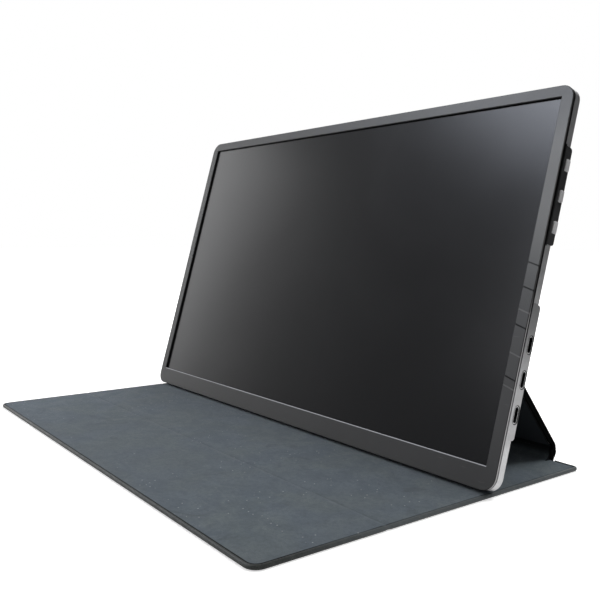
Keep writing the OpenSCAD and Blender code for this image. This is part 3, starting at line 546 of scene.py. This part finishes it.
# Radii to which the neutral line bends at the three folds
BEND_R = (1.35, 2.0, 1.2)
# The hem's width. It ends at HEM_EDGE from the edge, and inside it the leather's face lies this high
HEM, HEM_EDGE, UNDER_LINING = 1.3, 1.32, 1.25
# Heights of the lining's lower face, and of the foot of its rounded edge
LINING_LOW, LINING_RIM = 1.45, 1.82
# How far the leather stands off behind the middle of the spine and behind the support
SPINE_MIDDLE, SPINE_BULGE, SUPPORT_BULGE = 5.8, 2.6, 1.1
# The open cover's skew: left front corner back, right one ahead, right side out at the front and rear
SKEW_BACK, SKEW_AHEAD, BOW_FRONT, BOW_REAR = 3.58, 1.72, 1.76, 0.88

# Insets from an edge at which the grid has a line: close together where the edge is rounded and at the hem
INSETS = [0, 0.02, 0.08, 0.18, 0.32, 0.5, 0.72, 0.95, 1.15, 1.3, 1.36, 1.8, 2.6, 3.6, 4.8, 6.0, 7.0, 8.0]
# How far the lining stays inside the leather's edge
LINING_AT = 1.72
# Radius of the lining's inner corner at the lower spine fold, and how far along the folds it reaches each way
FILLET = 4.0
FILLET_REACH = FILLET + COVER - NEUTRAL


def smooth(v, a, b):
    f = np.clip((np.asarray(v, float) - a) / (b - a), 0, 1)
    return f * f * (3 - 2 * f)


def path(corners, angles, radii):
    """A polyline of folds in the (y, z) plane: point and turned normal at each length along it."""
    starts = [0.0]
    for a, b in zip(corners, corners[1:]):
        starts.append(starts[-1] + math.dist(a, b))

    def at(s):
        s = np.asarray(s, float)
        point = np.zeros(s.shape + (2,))
        angle = np.zeros(s.shape)
        for i, corner in enumerate(corners):
            d = math.radians(angles[i])
            here = s >= (starts[i] if i else -1e9)
            way = np.array([math.cos(d), math.sin(d)])
            point[here] = np.array(corner) + (s[here] - starts[i])[..., None] * way
            angle[here] = d
        for i in range(1, len(corners)):
            a, b = math.radians(angles[i - 1]), math.radians(angles[i])
            turn, rho = b - a, radii[i - 1]
            tangent = rho * math.tan(abs(turn) / 2)
            here = np.abs(s - starts[i]) < tangent
            f = (s[here] - starts[i] + tangent) / (2 * tangent)
            phi = a + f * turn
            side = math.copysign(1, turn)
            centre = (np.array(corners[i]) - tangent * np.array([math.cos(a), math.sin(a)])
                      + side * rho * np.array([-math.sin(a), math.cos(a)]))
            point[here] = centre - side * rho * np.stack([-np.sin(phi), np.cos(phi)], -1)
            angle[here] = phi
        return point, np.stack([-np.sin(angle), np.cos(angle)], -1)

    return at, starts


# Lengths s along the cover start at the lower spine fold. The base lies before it, the stand follows it up.
spot, FOLD_S = path(STAND_FOLDS, ANGLES[1:], BEND_R[1:])


def cover_point(s, n):
    """(y, z) of a point at length s along the folds and height n above the outer leather face."""
    s, n = np.broadcast_arrays(np.asarray(s, float), np.asarray(n, float))
    point, normal = spot(s)
    # The right angle at the lower spine fold, with its tangents as long as its radius
    rho = tangent = BEND_R[0]
    flat = s <= -tangent
    point[flat] = np.stack([P1[0] + s[flat], np.full(s[flat].shape, P1[1])], -1)
    normal[flat] = (0, 1)
    bend = np.abs(s) < tangent
    phi = (s[bend] + tangent) / (2 * tangent) * math.pi / 2
    point[bend] = np.stack([P1[0] - tangent + rho * np.sin(phi), P1[1] + rho * (1 - np.cos(phi))], -1)
    normal[bend] = np.stack([-np.sin(phi), np.cos(phi)], -1)
    return point + (n - NEUTRAL)[..., None] * normal


def lines(half, inner, steps):
    """Grid lines across a panel: dense at both edges, even between."""
    low = [-half + i for i in inner]
    mid = list(np.linspace(low[-1], -low[-1], steps + 1))[1:-1]
    return np.array(low + mid + [-v for v in reversed(low)])


def both_sides(centre, steps):
    """Grid lines at a fold and at each step away from it, in order."""
    return [centre - v for v in reversed(steps)] + [centre] + [centre + v for v in steps]


def cornered(x, y, half, low, high, r_low, r_high):
    """Bends the grid's square corners into round ones. Gives the new x, y and the distance from the edge."""
    x, y = x.copy(), y.copy()
    edge = half - np.abs(x)
    if r_low is not None:
        edge = np.minimum(edge, y - low)
    if r_high is not None:
        edge = np.minimum(edge, high - y)
    for r, end, sign in ((r_low, low, 1), (r_high, high, -1)):
        if not r:
            continue
        p = r - (half - np.abs(x))
        q = r - sign * (y - end)
        here = (p > 0) & (q > 0)
        p, q = p[here], q[here]
        m = np.maximum(p, q)
        angle = np.where(p >= q, q / np.maximum(p, 1e-9), 2 - p / np.maximum(q, 1e-9)) * math.pi / 4
        x[here] = np.sign(x[here]) * (half - r + m * np.cos(angle))
        y[here] = end + sign * (r - m * np.sin(angle))
        edge[here] = r - m
    return x, y, edge


def slab(name, x, y, top, low, place, keep=None, rim=None, lie=None, painted_stand_shade=None):
    """
    A closed sheet from its upper and lower faces over a grid. place turns (y, height) into (y, z), keep says
    which of the grid's cells are there, and lie moves the finished points.
    Two fields are kept on the mesh for its material. rim is each point's distance in mm from the sheet's
    edge, plus 1. The other is painted shade, by how far it lies inside the stand. A pair is for the upper and the
    lower face.
    """
    rows, cols = x.shape
    count = rows * cols
    cells = np.ones((rows - 1, cols - 1), bool) if keep is None else keep
    upper, lower = place(y, top), place(y, low)
    points = np.concatenate([
        np.stack([x, upper[..., 0], upper[..., 1]], -1).reshape(-1, 3),
        np.stack([x, lower[..., 0], lower[..., 1]], -1).reshape(-1, 3)])
    if lie is not None:
        points = lie(points)
    points = points * MM
    index = np.arange(count).reshape(rows, cols)
    a, b, c, d = index[:-1, :-1], index[:-1, 1:], index[1:, 1:], index[1:, :-1]
    quads = np.stack([a, b, c, d], -1)[cells]
    faces_of = [quads, quads[:, ::-1] + count]
    # Walls wherever a cell has none beside it
    padded = np.pad(cells, 1)
    inner = padded[1:-1, 1:-1]
    for dr, dc, p, q in ((-1, 0, a, b), (0, 1, b, c), (1, 0, c, d), (0, -1, d, a)):
        beside = padded[1 + dr:padded.shape[0] - 1 + dr, 1 + dc:padded.shape[1] - 1 + dc]
        open_side = inner & ~beside
        p, q = p[open_side], q[open_side]
        faces_of.append(np.stack([p, p + count, q + count, q], -1))
    faces = np.concatenate(faces_of)
    used = np.unique(faces)
    remap = np.full(2 * count, -1)
    remap[used] = np.arange(len(used))
    mesh = bpy.data.meshes.new(name)
    mesh.from_pydata(points[used].tolist(), [], remap[faces].tolist())
    mesh.validate()
    for key, field in (("rim", None if rim is None else rim + 1), ("painted_stand_shade", painted_stand_shade)):
        if field is not None:
            above, below = field if isinstance(field, tuple) else (field, field)
            values = np.concatenate([above.ravel(), below.ravel()])[used]
            mesh.attributes.new(key, "FLOAT", "POINT").data.foreach_set("value", values.astype(np.float32))
    mesh.polygons.foreach_set("use_smooth", [True] * len(mesh.polygons))
    mesh.set_sharp_from_angle(angle=math.radians(42))
    mesh.update()
    return link(name, mesh)


def round_edge(d, r, low, high):
    """Lower and upper face heights beside a rounded edge."""
    rise = r - np.sqrt(np.maximum(r * r - np.maximum(r - d, 0) ** 2, 0))
    return low + rise, high - rise


def waver(x, y, size, amount, seed):
    """Slow unevenness of a hand-laid sheet: five crossing waves of about that size, in mm."""
    rng = np.random.default_rng(seed)
    out = np.zeros_like(x)
    for _ in range(5):
        k = rng.normal(size=2) / size
        out += np.sin(x * k[0] + y * k[1] + rng.uniform(0, 6.28))
    return amount * out / 5


def flat_place(y, n):
    return np.stack(np.broadcast_arrays(y, n), -1)


def lie_askew(points):
    """The open cover lies a little askew: its front edge swings round, and its right side bows out."""
    x, y = points[:, 0], points[:, 1]
    ahead = np.clip((FRONT_FOLD - y) / (FRONT_FOLD - FRONT), 0, 1)
    across = (x + COVER_HALF) / (2 * COVER_HALF)
    back = (y - FRONT) / (REAR - FRONT)
    out = points.copy()
    out[:, 1] += ahead * (SKEW_BACK * (1 - across) - SKEW_AHEAD * across)
    out[:, 0] += (BOW_FRONT + (BOW_REAR - BOW_FRONT) * back) * smooth(x, 60, COVER_HALF)
    return out


def dress(obj, material, nodes):
    obj.data.materials.append(MATERIALS[material])
    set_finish(obj, material)
    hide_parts(*nodes)


def bend_front(obj):
    """Bakes a piece of the base's placement into its mesh; it is not blended across the crease to the front flap.
    """
    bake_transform(obj)


def bend_stand(obj):
    """Bakes a piece of the stand's placement into its mesh; it is not blended across the stand's folds."""
    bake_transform(obj)


def grid(*groups):
    """Grid lines from several groups in order, each once."""
    return np.array(sorted(set(np.round(np.concatenate(groups), 4))))


def middles(values):
    return (values[:-1] + values[1:]) / 2


def make_base_leather():
    slit_half, slit = NARROW_HALF + 0.2, REAR - 2.6
    ear_from = NARROW_HALF + 0.5
    xs = grid(lines(COVER_HALF, INSETS, 56), [-ear_from, -slit_half, slit_half, ear_from])
    front = [FRONT + i for i in INSETS]
    fold = both_sides(FRONT_FOLD, (0.35, 0.7, 1.1, 1.6, 2.2, 3, 4))
    back = [REAR - i for i in reversed(INSETS)]
    ys = grid(front, np.linspace(front[-1], fold[0], 12), fold, np.linspace(fold[-1], back[0], 24),
              back, [slit])
    y, x = np.meshgrid(ys, xs, indexing="ij")
    x, y, edge = cornered(x, y, COVER_HALF, FRONT, REAR, FRONT_R, REAR_R)
    low, top = round_edge(edge, 1.0, 0, COVER)
    inner = edge > HEM_EDGE
    top = np.where(inner, UNDER_LINING, top - 0.05 * smooth(edge, 1.0, HEM))
    groove = np.exp(-((y - FRONT_FOLD) / 1.3) ** 2)
    low = low + 0.25 * groove
    top = top - np.where(inner, 0.0, 0.16) * groove
    # Beside the slit for the spine, the rear edge bows in slightly
    ear = smooth(y, 100, REAR) * (np.abs(x) > slit_half - 1.2)
    y = y - 0.35 * ear * np.sin(np.clip((np.abs(x) - ear_from) / 15, 0, 1) * math.pi)
    keep = ~((np.abs(middles(xs))[None, :] < ear_from - 0.1) & (middles(ys)[:, None] > slit))
    obj = slab("cover_base_leather", x, y, top, low, flat_place, keep, edge, lie_askew)
    # Flat, it is larger by what is turned in at each edge, and the slit takes about 2 mm of its length
    dress(obj, "leather", ["base_skin", "front_flap_skin"])
    bend_front(obj)


def make_base_lining():
    half = COVER_HALF - LINING_AT
    front, rear = FRONT + LINING_AT, P1[0] - FOLD - 0.1
    r = FRONT_R - LINING_AT
    ring = [0, 0.06, 0.16, 0.32, 0.6, 1.1, 1.8, 3.0, r]
    fold = both_sides(FRONT_FOLD, (0.2, 0.4, 0.7, 1.0, 1.4, 1.9, 2.6, 3.6, 5))
    low_y = [front + i for i in ring]
    high_y = [rear - i for i in reversed(ring)]
    notch_x, notch_y = NARROW_HALF - LINING_AT, P1[0] - FILLET_REACH
    xs = grid(lines(half, ring, 64), [-notch_x, notch_x])
    ys = grid(low_y, np.linspace(low_y[-1], fold[0], 15), fold, np.linspace(fold[-1], high_y[0], 32),
              high_y, [notch_y])
    keep = ~((np.abs(middles(xs))[None, :] < notch_x) & (middles(ys)[:, None] > notch_y))
    y, x = np.meshgrid(ys, xs, indexing="ij")
    x, y, rim = cornered(x, y, half, front, rear, r, None)
    rim = np.where(np.abs(x) < NARROW_HALF, rim, np.minimum(rim, rear - y))
    _, top = round_edge(rim, 0.32, LINING_RIM, COVER)
    top = top - 0.05 + 0.10 * smooth(rim, 0.3, 5) + waver(x, y, 38, 0.10, 3) * smooth(rim, 1, 12)
    # The crease wanders a little, dips and has a soft shoulder on each side
    away = np.abs(y - FRONT_FOLD - waver(x, 0 * y, 30, 0.12, 8))
    dip = 0.32 * np.exp(-(away / 0.85) ** 1.5)
    shoulder = 0.10 * np.exp(-((away - 3.0) / 1.4) ** 2)
    top = top - dip + shoulder
    low = LINING_LOW - 0.35 * np.exp(-(away / 1.6) ** 2)
    obj = slab("cover_base_lining", x, y, top, low, flat_place, keep, rim, lie_askew)
    dress(obj, "lining", ["base_lining", "front_flap_lining"])
    bend_front(obj)


def make_front_board():
    """The front flap's board again, lying askew with the leather round it."""
    inset, r = 0.9, FRONT_R - 0.9
    ring = [0, 0.4, 1.0, 2.0, 3.4, r]
    rest = np.linspace(FRONT + inset + r, FRONT_FOLD - FRONT_BEND, 12)[1:]
    ys = np.array([FRONT + inset + v for v in ring] + list(rest))
    y, x = np.meshgrid(ys, lines(COVER_HALF - inset, ring, 40), indexing="ij")
    x, y, _ = cornered(x, y, COVER_HALF - inset, FRONT + inset, ys[-1], r, None)
    low = np.full_like(x, BOARD_LOW)
    obj = slab("cover_front_board", x, y, np.full_like(x, BOARD_TOP), low, flat_place, lie=lie_askew)
    obj.data.materials.append(MATERIALS["paperboard"])
    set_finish(obj, "paperboard")
    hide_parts("front_flap_board")
    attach(obj, "front_flap")


def strip_lines(fold, reach, start, end, step):
    """Lengths s for a piece of the stand: dense at its fold, even elsewhere."""
    near = FOLD_S[fold] + np.linspace(-reach, reach, 15)
    ordered = grid([start, end], near[(near > start) & (near < end)])
    filled = []
    for a, b in zip(ordered, ordered[1:]):
        filled += list(np.linspace(a, b, max(1, math.ceil((b - a) / step)) + 1))[:-1]
    return np.array(filled + [ordered[-1]])


def web(s, fold):
    """1 in a bare fold, 0 on the panels."""
    return smooth(np.abs(s - FOLD_S[fold]), FOLD + 0.15, FOLD - 0.55)


def make_narrow_leather(panel, fold, s_lines, corner=None, half=NARROW_HALF, r=0.95):
    """The leather of one of the stand's panels and of the fold below it. corner rounds its free end."""
    xs = lines(half, INSETS[:-2], 46)
    s, x = np.meshgrid(s_lines, xs, indexing="ij")
    x, s, edge = cornered(x, s, half, s_lines[0], s_lines[-1], None, corner)
    bare = web(s, fold)
    low, top = round_edge(edge, r, 0, COVER)
    top = top * (1 - bare) + (top - COVER + WEB) * bare
    top = np.where(edge > HEM_EDGE, UNDER_LINING, np.maximum(top, low + 0.3))
    # The leather stands off behind the spine and the support
    behind = SPINE_BULGE * np.exp(-((s - SPINE_MIDDLE) / 3.3) ** 2) * smooth(s, -1.6, 2.6)
    upper_end = smooth(s, FOLD_S[2] - 4, FOLD_S[2] - 22)
    behind = np.maximum(behind, SUPPORT_BULGE * smooth(s, SPINE_MIDDLE, 9) * upper_end)
    obj = slab("cover_" + panel + "_leather", x, s, top, low - behind, cover_point,
               painted_stand_shade=(np.ones_like(x), smooth(edge, 1.4, 0.8)))
    dress(obj, "leather", [SKINS[panel]])
    bend_stand(obj)


def make_stand_leather():
    """Spine, support and back panel. Each starts below its fold and ends below the next."""
    ends = [at - FOLD for at in FOLD_S]
    back_end = FOLD_S[2] + BACK_L
    make_narrow_leather("spine", 0, strip_lines(0, 1.4, ends[0], ends[1], 0.6))
    make_narrow_leather("support", 1, strip_lines(1, 1.2, ends[1], ends[2], 4.0),
                        half=NARROW_HALF + 0.4, r=0.6)
    back_lines = strip_lines(2, 1.2, ends[2], back_end - INSETS[-3], 5.0)
    back_lines = np.append(back_lines[:-1], [back_end - i for i in reversed(INSETS[:-2])])
    make_narrow_leather("back", 2, back_lines, corner=NARROW_R)


def filleted_point(s, n):
    """As cover_point, but the lining's upper face rounds the corner from the base up to the spine."""
    point = cover_point(s, n)
    turn = np.clip((s + FILLET_REACH) / (2 * FILLET_REACH), 0, 1) * math.pi / 2
    centre = np.array([P1[0] - (COVER - NEUTRAL) - FILLET, COVER + FILLET])
    arc = centre + FILLET * np.stack([np.sin(turn), -np.cos(turn)], -1)
    near = (np.abs(s) < FILLET_REACH) & (n > 1.5)
    point[near] = arc[near]
    return point


def make_narrow_lining(panel, fold, start, end, step, place=cover_point):
    """The lining of one of the stand's panels and of the fold below it."""
    half = NARROW_HALF - LINING_AT
    xs = lines(half, [0, 0.06, 0.16, 0.32, 0.6, 1.1], 44)
    s, x = np.meshgrid(strip_lines(fold, FOLD, start, end, step), xs, indexing="ij")
    edge = half - np.abs(x)
    bare = web(s, fold)
    _, top = round_edge(edge, 0.3, LINING_RIM, COVER - 0.03)
    top = top + waver(x, s, 34, 0.05, 5) * smooth(edge, 1, 10) * (1 - bare)
    top = top * (1 - bare) + (1.55 - (COVER - top) * 0.4) * bare
    low = LINING_LOW * (1 - bare) + 1.2 * bare
    obj = slab("cover_" + panel + "_lining", x, s, np.maximum(top, 1.52), low, place, rim=edge,
               painted_stand_shade=smooth(s, 0.0, 8.5))
    dress(obj, "lining", [LININGS[panel]])
    bend_stand(obj)


def make_stand_lining():
    above_spine, below_top = FOLD_S[1] - FOLD, FOLD_S[2] - FOLD
    hem = FOLD_S[2] + BACK_L - HEM - 0.1
    make_narrow_lining("spine", 0, -FILLET_REACH, above_spine, 0.5,
                       place=filleted_point)
    make_narrow_lining("support", 1, above_spine, below_top, 4.0)
    make_narrow_lining("back", 2, below_top, hem, 6.0)


make_base_leather()
make_base_lining()
make_front_board()
make_stand_leather()
make_stand_lining()


# ---------- Small edges of the moulded parts ----------

def soften(node, width):
    """Breaks a moulded part's sharp edges, so that they catch the light."""
    obj = frame["nodes"][node]
    weld = obj.modifiers.new("weld", "WELD")
    weld.merge_threshold = 0.000004
    bevel = obj.modifiers.new("edge", "BEVEL")
    bevel.width = width * MM
    bevel.segments = 2
    bevel.limit_method = "ANGLE"
    bevel.angle_limit = math.radians(40)


for node, width in (("key_upper", 0.12), ("key_middle", 0.12), ("key_lower", 0.12), ("button_strip", 0.08)):
    soften(node, width)


# ---------- Floor, world and lamps ----------

def seen(n):
    """1 for rays that show the background: from the camera, or by way of gloss or glass."""
    ray = n.add("ShaderNodeLightPath")
    found = n.math("MAXIMUM", ray.outputs["Is Camera Ray"], ray.outputs["Is Glossy Ray"])
    return n.math("MAXIMUM", found, ray.outputs["Is Transmission Ray"])


def card(name, corners):
    """One four-sided face."""
    mesh = bpy.data.meshes.new(name)
    mesh.from_pydata(corners, [], [(0, 1, 2, 3)])
    return link(name, mesh)


def make_floor():
    size = 6.0
    floor = card("floor", [(-size, -size, 0), (size, -size, 0), (size, size, 0), (-size, size, 0)])
    n = Nodes("floor_white")
    paper = n.mix(n.noise(300, 2), (0.86, 0.86, 0.86), (0.89, 0.89, 0.89))
    diffuse = n.add("ShaderNodeBsdfDiffuse", Color=paper)
    # White by itself further out, so that only the object's shadow shows on it
    away = n.ramp(n.vector("LENGTH", n.scaled(0.9, 1.25, 1)), 0.20, 0.62, 0.58, 1.0)
    glow = n.add("ShaderNodeEmission", Color=(1, 1, 1), Strength=n.times(seen(n), away))
    both = n.add("ShaderNodeAddShader")
    n.put(both.inputs[0], diffuse.outputs[0])
    n.put(both.inputs[1], glow.outputs[0])
    floor.data.materials.append(n.finish(both))
    floor.location.z = -0.0002


def make_flag():
    """A black card beyond the right rear, which only reflections show: it darkens the upright side."""
    wide, low, high = 0.42, 0.005, 0.9
    flag = card("flag", [(-wide, 0, low), (wide, 0, low), (wide, 0, high), (-wide, 0, high)])
    flag.location = (0.45, 0.47, 0)
    flag.rotation_euler = (0, 0, math.radians(-41))
    n = Nodes("flag_black")
    felt = n.mix(n.noise(40, 3), (0.012, 0.012, 0.012), (0.02, 0.02, 0.02))
    flag.data.materials.append(n.finish(n.add("ShaderNodeBsdfDiffuse", Color=felt)))
    flag.visible_camera = flag.visible_diffuse = flag.visible_shadow = False


def make_world():
    """White where it is seen, and a weak light on the object."""
    n = Nodes("studio", bpy.data.worlds, "ShaderNodeOutputWorld")
    strength = n.ramp(seen(n), 0, 1, 0.20, 1.0)
    bpy.context.scene.world = n.finish(n.add("ShaderNodeBackground", Color=(1, 1, 1), Strength=strength))


def lamp(name, at, aim, size, power, colour=(1, 1, 1), matt=True, gloss=True):
    data = bpy.data.lights.new(name, "AREA")
    data.color = colour
    data.shape = "RECTANGLE"
    data.size, data.size_y = size
    data.energy = power
    obj = link(name, data)
    obj.location = at
    obj.rotation_euler = (Vector(aim) - Vector(at)).to_track_quat("-Z", "Y").to_euler()
    obj.visible_diffuse, obj.visible_glossy = matt, gloss


make_floor()
make_flag()
make_world()
# The key light's matt and glossy parts are set apart, to give the screen its soft bright corner
KEY_AT, KEY_AIM = (-0.61, -0.765, 1.17), (0.05, 0.05, 0.10)
lamp("key", KEY_AT, KEY_AIM, (0.35, 0.35), 3.7)
lamp("key_gloss", KEY_AT, KEY_AIM, (0.35, 0.35), 38, (0.95, 1, 1.10), matt=False)
lamp("right_gloss", (-0.40, -0.95, 0.55), (0.177, 0.06, 0.12), (0.25, 0.35), 3.6, matt=False)
lamp("left", (-1.55, -0.42, 0.44), (-0.12, 0.04, 0.12), (0.51, 0.82), 6.9)
lamp("rear", (0.40, 0.45, 1.2), (0.12, 0.05, 0.02), (0.5, 0.5), 9.0, gloss=False)
lamp("behind", (-0.5, 1.1, 1.0), (0, 0.05, 0.05), (0.8, 0.8), 5)

bpy.context.scene.view_settings.view_transform = "Standard"
